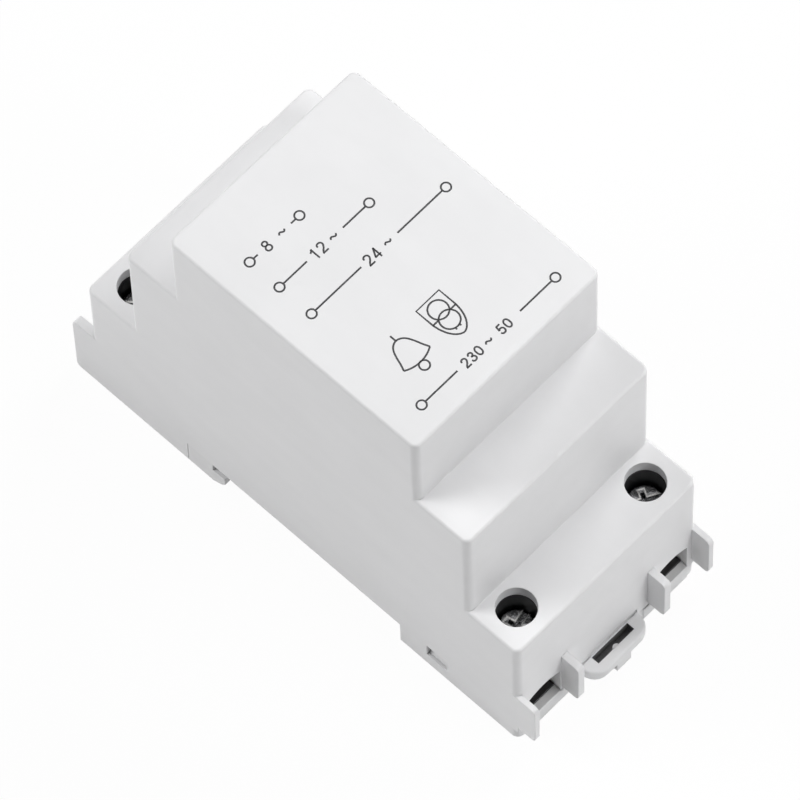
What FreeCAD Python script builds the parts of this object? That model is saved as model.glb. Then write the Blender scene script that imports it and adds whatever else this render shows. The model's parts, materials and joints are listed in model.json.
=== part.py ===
import FreeCAD, Part
import Sketcher
import math
import os
import re

# Doorbell transformer for a 35 mm mounting rail, two modules wide. Millimetres.
# X runs across the width, Y along the length from the mains end to the bell end, Z out of the
# printed face. The origin is the middle of the face that sits on the rail.

doc = FreeCAD.newDocument("BellTransformer")
sheet = doc.addObject("Spreadsheet::Sheet", "Sizes")

driving = {
    # Outer shell
    "width": 36.0, "shellWall": 1.8, "frontHeight": 60.6, "shoulderHeight": 44.5,
    "terminalHeight": 22.9, "footDepth": 4.9, "frontLength": 45.4, "shoulderStep": 9.1,
    "terminalStep": 8.95, "cornerRound": 1.2, "rimRound": 0.5, "terminalRoof": 2.2,
    # Fins between the wire entries
    "finReach": 3.65, "finTop": 8.55, "finThick": 1.4, "mainsFinBottom": 2.4, "finRound": 0.9,
    "finMargin": 0.35,
    # Terminals
    "screwInset": 4.95, "mainsEdge": 5.15, "bellEdge": 1.0, "wellRadius": 2.95,
    "headSink": 5.8, "headRadius": 2.6, "headDepth": 2.2, "shankRadius": 1.75,
    "pointRadius": 1.2, "pointLength": 0.8, "pointTaper": 0.4,
    "headRound": 0.35, "slotWidth": 0.8, "slotDepth": 1.1, "crossLength": 3.4,
    "boreGap": 0.05, "cageSide": 0.65, "cageLength": 5.6, "cageWall": 0.75, "cageFloor": 1.0,
    "nutThick": 2.2, "cageRound": 0.5, "cageGap": 0.3, "nutGap": 0.8, "clampTravel": 4.0,
    "closedGap": 0.4, "wallOverBar": 1.0,
    "barThick": 1.0, "barSide": 0.25, "barLevel": 4.6, "tagInset": 2.4, "tagThick": 0.8,
    "tagWidth": 2.4, "tagTop": 13.4, "tagHole": 0.4, "leadLevel": 11.4,
    "tagShoulder": 1.6, "bendRound": 0.7,
    "partitionThick": 1.0, "entryWidth": 6.6, "bellEntrySide": 0.55, "entrySide": 4.2,
    "entryRise": 1.0, "entryBottom": 1.9, "rampInset": 0.4,
    # Rail foot
    "railWidth": 35.0, "recessPlay": 0.9, "hookReach": 2.2, "hookGap": 1.65, "hookThick": 2.25,
    "hookLength": 4.9, "hookDeep": 0.1, "hookNose": 0.6, "hookLead": 0.8, "seatThick": 2.0,
    "footFloor": 1.6, "footFloorTop": 1.4, "footWall": 1.3, "lipReach": 1.0, "lipRise": 1.6,
    "lipInset": 1.0, "seam": 0.1, "ledgeThick": 2.8, "ledgeGap": 0.7, "fenceRise": 1.6,
    # Snap windows and catches
    "windowLength": 3.9, "windowHeight": 2.7, "windowInset": 5.1, "windowBottom": 2.2,
    "catchReach": 1.5, "catchTop": 0.3, "catchPlay": 0.15, "catchSide": 0.2,
    # Rail latch
    "latchWidth": 11.4, "latchThick": 1.8, "latchTop": 0.1, "latchProud": 3.05,
    "latchCorner": 2.0, "latchInset": 0.2,
    "pullSlotWidth": 7.2, "pullSlotDepth": 1.15, "pullSlotInset": 0.2, "noseBite": 1.5,
    "noseGap": 1.25, "noseBottom": 3.9, "noseWidth": 8.8, "noseLength": 5.3, "noseEdge": 0.8,
    "noseSlope": 1.9, "noseSink": 0.3, "slideGap": 0.15, "guideWall": 1.4,
    "springRadius": 0.9, "springWire": 0.4, "springStop": 3.65, "springTurns": 7.0,
    "tabWidth": 2.8, "tabDepth": 1.5, "tabThick": 1.4, "tabInset": 0.4, "pullNub": 0.55,
    # Core and coils
    "coreTopGap": 3.8, "coreEndGap": 0.9, "coreStack": 16.8, "legWidth": 8.0, "coreBottom": 7.0,
    "tubeWall": 0.9, "tubePlay": 0.15, "flangeThick": 1.0, "flangeGap": 0.2,
    "bobbinGap": 0.4, "flangePlay": 0.3, "splitOffset": 0.9, "mainsCoilInset": 1.2,
    "bellCoilInset": 1.8, "tapeThick": 0.3, "tapeInset": 0.25, "coilRound": 2.5,
    "cradleThick": 4.0, "cradleInset": 5.0, "cradleLug": 4.0, "cradleWall": 1.4,
    "corePlay": 0.1, "pressRib": 1.2, "pressSpread": 11.2,
    "pinRadius": 0.45, "pinLength": 3.5, "pinInset": 3.7, "pinStep": 6.0,
    "leadRadius": 0.6, "leadSetback": 4.2, "cutoutLength": 9.0, "cutoutDepth": 4.4,
    "cutoutHeight": 3.6, "cutoutGap": 1.5, "cutoutReach": 4.35, "cutoutRound": 0.8,
    "loopReach": 3.6, "loopRise": 8.0,
    # How far a cutting block runs past what it cuts, and how deep a rib is rooted in its wall
    "cutOver": 1.0, "rootDepth": 0.5,
}

# Sizes that follow from the driving ones
derived = {
    "halfWidth": "width / 2",
    "innerWidth": "halfWidth - shellWall",
    "frontHalf": "frontLength / 2",
    "shoulderHalf": "frontHalf + shoulderStep",
    "endHalf": "shoulderHalf + terminalStep",
    "endInner": "endHalf - shellWall",
    "finEnd": "endHalf + finReach",
    "baseHalf": "innerWidth - seam",
    "screwRow": "endHalf - screwInset",
    "mainsX": "halfWidth - mainsEdge",
    "bellPitch": "(halfWidth - bellEdge) / 2",
    "bellEntryWidth": "bellPitch - finThick - 2 * bellEntrySide",
    "headTop": "terminalHeight - headSink",
    "barTop": "barLevel + barThick",
    "barOuter": "screwRow + cageLength / 2 - cageGap",
    "boreRadius": "shankRadius + boreGap",
    "wireRoom": "clampTravel + closedGap",
    "cageInside": "barLevel - wireRoom",
    "cageBottom": "cageInside - cageFloor",
    "cageUnder": "barTop + nutGap",
    "cageTop": "cageUnder + nutThick",
    "chamberHalf": "(bellPitch - partitionThick) / 2",
    "cageWidth": "2 * (chamberHalf - cageSide)",
    "barWidth": "cageWidth - 2 * (cageWall + barSide)",
    "chamberInner": "screwRow - cageLength / 2 - cageGap",
    "chamberRoof": "terminalHeight - terminalRoof + rootDepth",
    "railHalf": "railWidth / 2",
    "latchEnd": "railHalf + recessPlay",
    "hookTip": "railHalf - hookReach",
    "hookRoot": "railHalf + hookDeep",
    "hookBack": "hookRoot + hookLength",
    "windowStart": "latchEnd + windowInset",
    "floorBottom": "-footFloorTop - footFloor",
    "floorEnd": "endInner - seam",
    "lipFace": "endHalf + lipReach",
    "lipTop": "-entryBottom - seam",
    "ledgeOuter": "chamberInner - ledgeGap",
    "ledgeInner": "ledgeOuter - ledgeThick",
    "barInner": "ledgeInner - tagInset",
    "latchHalf": "latchWidth / 2",
    "latchBottom": "-latchTop - latchThick",
    "latchFront": "endHalf + latchProud",
    "noseTip": "railHalf - noseBite",
    "noseBack": "latchEnd + noseLength",
    "springLength": "endInner - springStop - noseBack",
    "guideHalf": "latchHalf + slideGap + guideWall",
    "guideTop": "guideWall + slideGap - latchTop",
    "coreLength": "frontHeight - shellWall - coreTopGap - coreBottom",
    "coreMid": "coreBottom + coreLength / 2",
    "coreHalf": "frontHalf - shellWall - coreEndGap",
    "stackHalf": "coreStack / 2",
    "limbHalf": "coreHalf - legWidth",
    "cradleY": "coreHalf - cradleInset",
    "tubeX": "stackHalf + tubePlay + tubeWall",
    "tubeZ": "legWidth + tubePlay + tubeWall",
    "flangeEnd": "limbHalf - flangeGap",
    "flangeHalf": "innerWidth - bobbinGap",
    "flangeRise": "coreLength / 2 - legWidth - flangePlay",
    "pinEnd": "flangeEnd + pinLength",
    "pinDrop": "flangeRise - pinInset",
    "cutoutY": "coreHalf + cutoutGap + cutoutDepth / 2",
    "cutoutX": "mainsX - cutoutReach - cutoutLength / 2",
}

# How close two levels are to count as the same when an edge is picked
near = 0.01

for number, (word, value) in enumerate(driving.items(), 1):
    sheet.set(f"A{number}", word)
    sheet.set(f"B{number}", str(value))
    sheet.setAlias(f"B{number}", word)
for number, (word, formula) in enumerate(derived.items(), 1):
    sheet.set(f"D{number}", word)
    sheet.set(f"E{number}", f"={formula}")
    sheet.setAlias(f"E{number}", word)
doc.recompute()

words = set(driving) | set(derived)
nodes = []


def link(formula):
    """A formula in sheet words, written as an expression on the sheet."""
    return re.sub(r"[A-Za-z]\w*", lambda hit: f"Sizes.{hit[0]}" if hit[0] in words else hit[0],
                  str(formula))


def size(formula):
    """The number that a formula in sheet words has now."""
    return sheet.evalExpression(link(formula)) + 0.0


def bind(thing, **formulas):
    for name, formula in formulas.items():
        thing.setExpression(name, link(formula))


def place(thing, x=0, y=0, z=0):
    for axis, formula in zip("xyz", (x, y, z)):
        thing.setExpression(f"Placement.Base.{axis}", link(formula))
    return thing


def node(thing, name):
    thing.Label = name
    nodes.append(thing)
    return thing


def box(x, y, z):
    """A box from pairs of low and high formulas."""
    block = doc.addObject("Part::Box", "Block")
    lengths = [f"({high}) - ({low})" for low, high in (x, y, z)]
    bind(block, Length=lengths[0], Width=lengths[1], Height=lengths[2])
    return place(block, x[0], y[0], z[0])


def cylinder(radius, x, y, z):
    """A cylinder along Y or Z, whichever is given as a pair of formulas."""
    rod = doc.addObject("Part::Cylinder", "Rod")
    low, high = y if isinstance(y, tuple) else z
    if isinstance(y, tuple):
        rod.Placement.Rotation = FreeCAD.Rotation(FreeCAD.Vector(1, 0, 0), -90)
    bind(rod, Radius=radius, Height=f"({high}) - ({low})")
    return place(rod, *[span[0] if isinstance(span, tuple) else span for span in (x, y, z)])


def cut(base, *tools):
    result = doc.addObject("Part::Cut", "Cut")
    result.Base = base
    result.Tool = tools[0] if len(tools) == 1 else fuse(*tools)
    return result


def fuse(*parts):
    result = doc.addObject("Part::MultiFuse", "Fuse")
    result.Shapes = list(parts)
    return result


def common(first, second):
    result = doc.addObject("Part::Common", "Common")
    result.Base = first
    result.Tool = second
    return result


def refined(thing):
    """The same solid with its split faces joined."""
    clean = doc.addObject("Part::Refine", "Refine")
    clean.Source = thing
    return clean


def newBody(name):
    return doc.addObject("PartDesign::Body", name)


def originPlane(body, role):
    return next(item for item in body.Origin.OriginFeatures if item.Role == role)


def newSketch(body, plane):
    sketch = body.newObject("Sketcher::SketchObject", "Sketch")
    sketch.AttachmentSupport = [(originPlane(body, plane), "")]
    sketch.MapMode = "FlatFace"
    return sketch


def drawOutline(sketch, points):
    """A closed outline whose corners are pairs of formulas, each held by two dimensions."""
    first = sketch.GeometryCount
    corners = [FreeCAD.Vector(size(across), size(up), 0) for across, up in points]
    count = len(corners)
    for index in range(count):
        sketch.addGeometry(Part.LineSegment(corners[index], corners[(index + 1) % count]), False)
    for index in range(count):
        following = first + (index + 1) % count
        sketch.addConstraint(Sketcher.Constraint("Coincident", first + index, 2, following, 1))
    for index, (across, up) in enumerate(points):
        for kind, formula, value in (("DistanceX", across, corners[index].x),
                                     ("DistanceY", up, corners[index].y)):
            made = sketch.addConstraint(Sketcher.Constraint(kind, -1, 1, first + index, 1, value))
            sketch.setExpression(f"Constraints[{made}]", link(formula))


def padBody(name, plane, points, low, high, holes=()):
    """A body padded from low to high along the plane's normal."""
    body = newBody(name)
    sketch = newSketch(body, plane)
    drawOutline(sketch, points)
    for hole in holes:
        drawOutline(sketch, hole)
    pad = body.newObject("PartDesign::Pad", "Pad")
    pad.Profile = sketch
    bind(pad, Length=f"({high}) - ({low})")
    axis = {"YZ_Plane": "x", "XZ_Plane": "y", "XY_Plane": "z"}[plane]
    start = high if plane == "XZ_Plane" else low
    body.setExpression(f"Placement.Base.{axis}", link(start))
    doc.recompute()
    return body


def roundEdges(body, radius, wanted):
    """Rounds the edges of the body's tip for which wanted(edge) holds."""
    tip = body.Tip
    names = [f"Edge{number}" for number, edge in enumerate(tip.Shape.Edges, 1) if wanted(edge)]
    fillet = body.newObject("PartDesign::Fillet", "Round")
    fillet.Base = (tip, names)
    bind(fillet, Radius=radius)
    doc.recompute()
    return body


def upright(edge):
    bounds = edge.BoundBox
    return bounds.ZLength > size("rootDepth") and bounds.XLength < near and bounds.YLength < near


def atHeight(level):
    return lambda edge: abs(edge.BoundBox.ZMin - level) < near and edge.BoundBox.ZLength < near


def roundedBlock(name, halfLength, top):
    """One step of the shell: a block with rounded corners and a softened rim."""
    outline = [("-halfWidth", f"-{halfLength}"), ("halfWidth", f"-{halfLength}"),
               ("halfWidth", halfLength), ("-halfWidth", halfLength)]
    body = padBody(name, "XY_Plane", outline, "-footDepth", top)
    roundEdges(body, "cornerRound", upright)
    high = max(edge.BoundBox.ZMax for edge in body.Tip.Shape.Edges)
    return roundEdges(body, "rimRound", atHeight(high))


# Each terminal is its end of the case, -1 for mains and 1 for bell, and its place across the width
mainsTerminals = [(-1, "-mainsX"), (-1, "mainsX")]
bellTerminals = [(1, f"{step} * bellPitch") for step in (-1.5, -0.5, 0.5, 1.5)]
terminals = mainsTerminals + bellTerminals
terminalNames = ["mains_left", "mains_right", "bell_common", "bell_8v", "bell_12v", "bell_24v"]


def span(side, inner, outer):
    """Low and high of something that lies from inner to outer on one side of the middle."""
    return (f"-({outer})", f"-({inner})") if side < 0 else (inner, outer)


def wireEntry(side, x):
    """The arched way in for one wire, through the end wall."""
    halfEntry = "(entryWidth / 2)" if side < 0 else "(bellEntryWidth / 2)"
    through = span(side, "endInner - cutOver", "lipFace")
    wide = box((f"{x} - {halfEntry}", f"{x} + {halfEntry}"), through,
               ("-entryBottom - footDepth", "entrySide + entryRise"))
    archRadius = f"({halfEntry} * {halfEntry} + entryRise * entryRise) / (2 * entryRise)"
    arch = cylinder(archRadius, x, through, f"entrySide + entryRise - ({archRadius})")
    return common(wide, arch)


def screwWell(side, x):
    return cylinder("wellRadius", x, f"{side} * screwRow",
                    ("terminalHeight - 2 * terminalRoof", "terminalHeight + cutOver"))


def fin(name, side, low, high, bottom):
    """One insulating fin between wire entries."""
    reach = [(f"{side} * endInner", f"-({bottom})"), (f"{side} * finEnd", f"-({bottom})"),
             (f"{side} * finEnd", "finTop"), (f"{side} * endInner", "finTop")]
    body = padBody(name, "YZ_Plane", reach, low, high)
    end = side * size("finEnd")
    return roundEdges(body, "finRound", lambda edge: abs(edge.BoundBox.YMin - end) < near
                      and edge.BoundBox.YLength < near and edge.BoundBox.ZLength < near)


def makeFins():
    outer = "halfWidth - finThick"
    middle = "mainsX - entryWidth / 2 - finThick / 2 - finMargin"
    low, high = f"{middle} - finThick / 2", f"{middle} + finThick / 2"
    fins = [fin("MainsFin", -1, low, high, "mainsFinBottom"),
            fin("MainsFin", -1, f"-({high})", f"-({low})", "mainsFinBottom"),
            fin("MainsFin", -1, outer, "halfWidth", "mainsFinBottom"),
            fin("MainsFin", -1, "-halfWidth", f"-({outer})", "mainsFinBottom"),
            fin("BellFin", 1, outer, "halfWidth", "footDepth"),
            fin("BellFin", 1, "-halfWidth", f"-({outer})", "footDepth")]
    for step in (-1, 0, 1):
        fins.append(fin("BellFin", 1, f"{step} * bellPitch - finThick / 2",
                        f"{step} * bellPitch + finThick / 2", "mainsFinBottom"))
    return fins


def makePartitions():
    """Inner walls that keep the terminals apart and guide the cages."""
    walls = [box(("-innerWidth - rootDepth", "innerWidth + rootDepth"),
                 span(side, "chamberInner - partitionThick", "chamberInner"),
                 ("barTop + wallOverBar", "chamberRoof")) for side in (-1, 1)]
    for step in (-1, 0, 1):
        walls.append(box((f"{step} * bellPitch - partitionThick / 2",
                          f"{step} * bellPitch + partitionThick / 2"),
                         span(1, "chamberInner - rootDepth", "endInner + rootDepth"),
                         ("cageBottom", "chamberRoof")))
    for sign in (-1, 1):
        wall = span(sign, "mainsX - chamberHalf - partitionThick", "mainsX - chamberHalf")
        walls.append(box(wall, span(-1, "chamberInner - rootDepth", "endInner + rootDepth"),
                         ("footFloor", "chamberRoof")))
        rib = span(sign, "pressSpread / 2 - pressRib", "pressSpread / 2")
        walls.append(box(rib, ("shellWall - rootDepth - frontHalf", "frontHalf + rootDepth - shellWall"),
                         ("coreBottom + coreLength + corePlay", "frontHeight - shellWall + rootDepth")))
    return walls


def snapWindow(sign):
    return box(span(sign, "innerWidth - cutOver", "halfWidth + cutOver"),
               span(-1, "windowStart", "windowStart + windowLength"),
               ("-windowBottom", "windowHeight - windowBottom"))


def makeHousing():
    steps = [roundedBlock("FrontBlock", "frontHalf", "frontHeight"),
             roundedBlock("ShoulderBlock", "shoulderHalf", "shoulderHeight"),
             roundedBlock("TerminalBlock", "endHalf", "terminalHeight")]
    hollows = [box(("-innerWidth", "innerWidth"), (f"-({half} - shellWall)", f"{half} - shellWall"),
                   ("-footDepth - cutOver", f"{top}"))
               for half, top in (("frontHalf", "frontHeight - shellWall"),
                                 ("shoulderHalf", "shoulderHeight - shellWall"),
                                 ("endHalf", "terminalHeight - terminalRoof"))]
    recess = box(("-halfWidth - cutOver", "halfWidth + cutOver"), ("-latchEnd", "hookBack"),
                 ("-footDepth - cutOver", "0"))
    shell = cut(fuse(*steps), *hollows, recess)
    filled = fuse(shell, *makeFins(), *makePartitions())
    lipRoom = [box(("-innerWidth", "innerWidth"), span(side, "endInner - cutOver", "lipFace"),
                   ("-footDepth - cutOver", "-entryBottom")) for side in (-1, 1)]
    entries = [wireEntry(side, x) for side, x in terminals]
    wells = [screwWell(side, x) for side, x in terminals]
    latchWay = box(("-latchHalf - slideGap * 2", "latchHalf + slideGap * 2"),
                   span(-1, "endInner - cutOver", "finEnd"), ("-footDepth - cutOver", "latchTop"))
    windows = [snapWindow(sign) for sign in (-1, 1)]
    return node(refined(cut(filled, *lipRoom, *entries, *wells, latchWay, *windows)), "housing")


def entryRamp(side, x):
    """The sloping sill that leads a wire up into its cage."""
    half = "(entryWidth / 2 - seam)" if side < 0 else "(bellEntryWidth / 2 - seam)"
    start, top = f"{side} * (screwRow + cageLength / 2 + seam)", "lipTop + lipRise"
    profile = [(start, "floorBottom"), (f"{side} * lipFace", "floorBottom"),
               (f"{side} * lipFace", "lipTop"), (f"{side} * (endInner + rampInset)", top), (start, top)]
    return padBody("Ramp", "YZ_Plane", profile, f"{x} - {half}", f"{x} + {half}")


def makeFoot(side):
    """One hollow foot of the base, from the rail recess to the end lip."""
    start = "latchEnd" if side < 0 else "hookBack - seam - rootDepth"
    floor = box(("-baseHalf", "baseHalf"), span(side, start, "floorEnd"),
                ("floorBottom", "-footFloorTop"))
    skirts = [box(span(sign, "baseHalf - footWall", "baseHalf"), span(side, start, "floorEnd"),
                  ("-footDepth", "-footFloorTop")) for sign in (-1, 1)]
    lip = box(("-baseHalf", "baseHalf"), span(side, "endInner - lipInset", "lipFace"),
              ("-footDepth", "lipTop"))
    ledge = box(("-baseHalf", "baseHalf"), span(side, "ledgeInner", "ledgeOuter"),
                ("floorBottom", "barLevel"))
    return [floor, lip, ledge] + skirts


def makeFences():
    """Ribs on the ledges that keep the contact bars in place."""
    height = ("barLevel - rootDepth", "barLevel + fenceRise")
    half = "(bellPitch - barWidth) / 2 - seam"
    fences = [box((f"{step} * bellPitch - ({half})", f"{step} * bellPitch + {half}"),
                  span(1, "ledgeInner", "ledgeOuter"), height) for step in (-1, 0, 1)]
    inner = "mainsX - barWidth / 2 - seam"
    fences.append(box((f"-({inner})", inner), span(-1, "ledgeInner", "ledgeOuter"), height))
    return fences


def makeCradle():
    """Two saddles with lugs that carry the core."""
    parts = []
    outer = "stackHalf + corePlay + cradleWall"
    for side in (-1, 1):
        y = (f"{side} * cradleY - cradleThick / 2", f"{side} * cradleY + cradleThick / 2")
        parts.append(box((f"-({outer})", outer), y, ("seatThick / 2", "coreBottom")))
        for sign in (-1, 1):
            parts.append(box(span(sign, "stackHalf + corePlay", outer), y,
                             ("coreBottom - rootDepth", "coreBottom + cradleLug")))
    return parts


def makeHook():
    """The fixed hook that goes behind one edge of the rail."""
    profile = [("hookBack - seam", "0"), ("hookBack - seam", "-footDepth"),
               ("hookRoot", "-footDepth"), ("hookTip + hookNose", "-hookGap - hookThick"),
               ("hookTip", "hookLead - hookGap - hookThick"), ("hookTip", "-hookGap"),
               ("hookRoot", "-hookGap"), ("hookRoot", "0")]
    return padBody("Hook", "YZ_Plane", profile, "-halfWidth", "halfWidth")


def makeCatch(sign):
    """A sloping catch that snaps into the window of the side wall."""
    low, high = "catchPlay - windowBottom", "windowHeight - windowBottom - catchPlay"
    inner, outer = f"{sign} * (baseHalf - footWall)", f"{sign} * (baseHalf + catchReach)"
    profile = [(inner, "floorBottom"), (f"{sign} * baseHalf", "floorBottom"),
               (f"{sign} * baseHalf", low), (outer, low), (f"{sign} * (baseHalf + catchTop)", high),
               (f"{sign} * baseHalf", high), (inner, high)]
    return padBody("Catch", "XZ_Plane", profile, "-(windowStart + windowLength - catchSide)",
                   "-(windowStart + catchSide)")


def latchGuide():
    """The block that the rail latch slides in, and the slots cut through it."""
    below = "-footDepth - cutOver"
    block = box(("-guideHalf", "guideHalf"), span(-1, "latchEnd", "endInner - seam"),
                ("-footDepth", "guideTop"))
    sill = box(("-guideHalf", "guideHalf"), span(-1, "endInner - rootDepth", "endHalf"),
               ("-footDepth", "latchBottom - slideGap"))
    noseSpan = ("-noseWidth / 2 - slideGap", "noseWidth / 2 + slideGap")
    upper = box(("-latchHalf - slideGap", "latchHalf + slideGap"),
                span(-1, "latchEnd + footWall", "lipFace + cutOver"),
                ("latchBottom - slideGap", "slideGap - latchTop"))
    lower = box(noseSpan, span(-1, "latchEnd - cutOver", "noseBack + springLength"),
                (below, "latchBottom - slideGap"))
    nose = box(noseSpan, span(-1, "latchEnd - cutOver", "latchEnd + footWall + rootDepth"),
               (below, "slideGap - noseGap"))
    front = box(("-guideHalf", "guideHalf"), span(-1, "endHalf", "lipFace + cutOver"),
                (below, "cutOver"))
    return [block, sill], [upper, lower, nose, front]


def makeBase():
    across = ("-baseHalf", "baseHalf")
    seat = box(across, ("-latchEnd - footWall", "hookBack - seam"), ("0", "seatThick"))
    latchWall = box(across, span(-1, "latchEnd", "latchEnd + footWall"), ("-footDepth", "seatThick"))
    hookWall = box(across, ("hookBack - seam - footWall", "hookBack - seam"), ("-footDepth", "seatThick"))
    guide, slots = latchGuide()
    solids = [seat, latchWall, hookWall, makeHook(), makeCatch(-1), makeCatch(1)]
    solids += makeFoot(-1) + makeFoot(1) + makeFences() + makeCradle() + guide
    solids += [entryRamp(side, x) for side, x in terminals]
    return node(refined(cut(fuse(*solids), *slots)), "base")


def makeLatch():
    """A flat slider with a nose behind the rail and a slotted pull outside."""
    inner = "-(latchEnd + footWall + latchInset)"
    outline = [("-latchHalf", "-latchFront"), ("latchHalf", "-latchFront"), ("latchHalf", inner),
               ("-latchHalf", inner)]
    plate = padBody("LatchPlate", "XY_Plane", outline, "latchBottom", "-latchTop")
    front = -size("latchFront")
    roundEdges(plate, "latchCorner",
               lambda edge: upright(edge) and abs(edge.BoundBox.YMin - front) < near)
    sunk = "-latchTop - noseSink"
    profile = [("-noseTip", "-noseGap"), ("-noseTip", "-noseGap - noseEdge"),
               ("-(noseTip + noseSlope)", "-noseBottom"), ("-noseBack", "-noseBottom"),
               ("-noseBack", sunk), (inner, sunk), (inner, "-noseGap")]
    nose = padBody("LatchNose", "YZ_Plane", profile, "-noseWidth / 2", "noseWidth / 2")
    slotInner = "endHalf + pullSlotInset"
    slot = box(("-pullSlotWidth / 2", "pullSlotWidth / 2"),
               span(-1, slotInner, f"{slotInner} + pullSlotDepth"), ("latchBottom - cutOver", "cutOver"))
    nub = cylinder("pullNub", "0", f"-({slotInner} + pullSlotDepth)", ("latchBottom", "-latchTop"))
    tab = box(("-tabWidth / 2", "tabWidth / 2"),
              span(-1, "latchFront - tabInset - tabThick", "latchFront - tabInset"),
              ("latchBottom - tabDepth", "latchBottom"))
    return node(refined(fuse(cut(fuse(plate, nose), slot), nub, tab)), "rail_latch")


def coil(radius, wire, length, turns, low, height):
    """A round wire wound along Y at X = 0."""
    pitch = (length - 2 * wire) / turns
    path = Part.makeHelix(pitch, pitch * turns, radius)
    start = FreeCAD.Vector(radius, 0, 0)
    section = Part.Wire(Part.Circle(start, FreeCAD.Vector(0, 1, 0), wire / 2).toShape())
    shape = Part.Wire(path).makePipeShell([section], True, True)
    shape.rotate(FreeCAD.Vector(0, 0, 0), FreeCAD.Vector(1, 0, 0), -90)
    shape.translate(FreeCAD.Vector(0, low + wire, height))
    return shape


def makeSpring():
    middle = (size("latchBottom - slideGap") - size("footDepth")) / 2
    spring = doc.addObject("Part::Feature", "LatchSpring")
    spring.Shape = coil(size("springRadius"), size("springWire"), size("springLength"),
                        size("springTurns"), -size("noseBack + springLength"), middle)
    return node(spring, "latch_spring")


def makeScrew(side, x):
    """A clamp screw with a combined slot and cross."""
    body = newBody("Screw")
    sketch = newSketch(body, "XZ_Plane")
    drawOutline(sketch, [("0", "barTop"), ("pointRadius", "barTop"),
                         ("pointRadius", "barTop + pointLength"),
                         ("shankRadius", "barTop + pointLength + pointTaper"),
                         ("shankRadius", "headTop - headDepth"), ("headRadius", "headTop - headDepth"),
                         ("headRadius", "headTop"), ("0", "headTop")])
    turned = body.newObject("PartDesign::Revolution", "Turned")
    turned.Profile = sketch
    turned.ReferenceAxis = (sketch, ["V_Axis"])
    turned.Angle = 360
    doc.recompute()
    roundEdges(body, "headRound", lambda edge: atHeight(size("headTop"))(edge)
               and edge.BoundBox.XLength > size("headRadius"))
    y = f"{side} * screwRow"
    place(body, x, y)
    depth = ("headTop - slotDepth", "headTop + cutOver")
    long = box((f"{x} - headRadius - cutOver", f"{x} + headRadius + cutOver"),
               (f"{y} - slotWidth / 2", f"{y} + slotWidth / 2"), depth)
    short = box((f"{x} - slotWidth / 2", f"{x} + slotWidth / 2"),
                (f"{y} - crossLength / 2", f"{y} + crossLength / 2"), depth)
    return cut(body, long, short)


def makeCage(side, x):
    """A rising clamp: a folded frame round the wire with a tapped top."""
    half = "cageWidth / 2"
    hole = f"({half} - cageWall)"
    outside = [(f"-{half}", "cageBottom"), (half, "cageBottom"), (half, "cageTop"),
               (f"-{half}", "cageTop")]
    inside = [(f"-{hole}", "cageInside"), (hole, "cageInside"), (hole, "cageUnder"),
              (f"-{hole}", "cageUnder")]
    body = padBody("Cage", "XZ_Plane", outside, f"{side} * screwRow - cageLength / 2",
                   f"{side} * screwRow + cageLength / 2", [inside])
    wide = size(half)
    roundEdges(body, "cageRound", lambda edge: abs(abs(edge.BoundBox.Center.x) - wide) < near
               and edge.BoundBox.YLength > size("cageWall"))
    body.setExpression("Placement.Base.x", link(x))
    bore = cylinder("boreRadius", x, f"{side} * screwRow", ("cageUnder - cutOver", "cageTop + cutOver"))
    return cut(body, bore)


def makeBar(side, x):
    """A contact bar inside the cage, folded up into a solder tag."""
    tagOuter = "barInner + tagThick"
    profile = [(f"{side} * barOuter", "barLevel"), (f"{side} * barOuter", "barTop"),
               (f"{side} * ({tagOuter})", "barTop"), (f"{side} * ({tagOuter})", "tagTop"),
               (f"{side} * barInner", "tagTop"), (f"{side} * barInner", "barLevel")]
    body = padBody("Bar", "YZ_Plane", profile, f"{x} - barWidth / 2", f"{x} + barWidth / 2")
    low, level = size("barInner"), size("barLevel")
    roundEdges(body, "bendRound", lambda edge: abs(abs(edge.BoundBox.YMin) - low) < near
               and edge.BoundBox.YLength < near and abs(edge.BoundBox.ZMax - level) < near)
    through = span(side, "barInner - cutOver", f"{tagOuter} + cutOver")
    height = ("barTop + tagShoulder", "tagTop + cutOver")
    trims = [box((f"{x} + tagWidth / 2", f"{x} + barWidth"), through, height),
             box((f"{x} - barWidth", f"{x} - tagWidth / 2"), through, height),
             cylinder("tagHole", x, through, "leadLevel")]
    return cut(body, *trims)


def makeCore():
    """The E and I lamination stacks."""
    back, window = "coreHalf", "limbHalf"
    low, high = "coreBottom", "coreBottom + coreLength"
    lowLeg, highLeg = f"{low} + legWidth", f"{high} - legWidth"
    lowTongue, highTongue = "coreMid - legWidth", "coreMid + legWidth"
    outline = [(back, low), (back, high), (f"-{window}", high), (f"-{window}", highLeg),
               (window, highLeg), (window, highTongue), (f"-{window}", highTongue),
               (f"-{window}", lowTongue), (window, lowTongue), (window, lowLeg),
               (f"-{window}", lowLeg), (f"-{window}", low)]
    node(padBody("CoreE", "YZ_Plane", outline, "-stackHalf", "stackHalf"), "core_e_stack")
    node(box(("-stackHalf", "stackHalf"), (f"-{back}", f"-{window}"), (low, high)), "core_i_stack")


def sleeve(y, halfX, halfZ, innerX, innerZ, rounding):
    """A rounded rectangular ring about the centre limb."""
    outline = [(f"-({halfX})", f"coreMid - ({halfZ})"), (halfX, f"coreMid - ({halfZ})"),
               (halfX, f"coreMid + {halfZ}"), (f"-({halfX})", f"coreMid + {halfZ}")]
    body = padBody("Ring", "XZ_Plane", outline, y[0], y[1])
    roundEdges(body, rounding, lambda edge: edge.BoundBox.YLength > size("rootDepth"))
    core = box((f"-({innerX})", innerX), (f"{y[0]} - cutOver", f"{y[1]} + cutOver"),
               (f"coreMid - ({innerZ})", f"coreMid + {innerZ}"))
    return body, core


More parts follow.
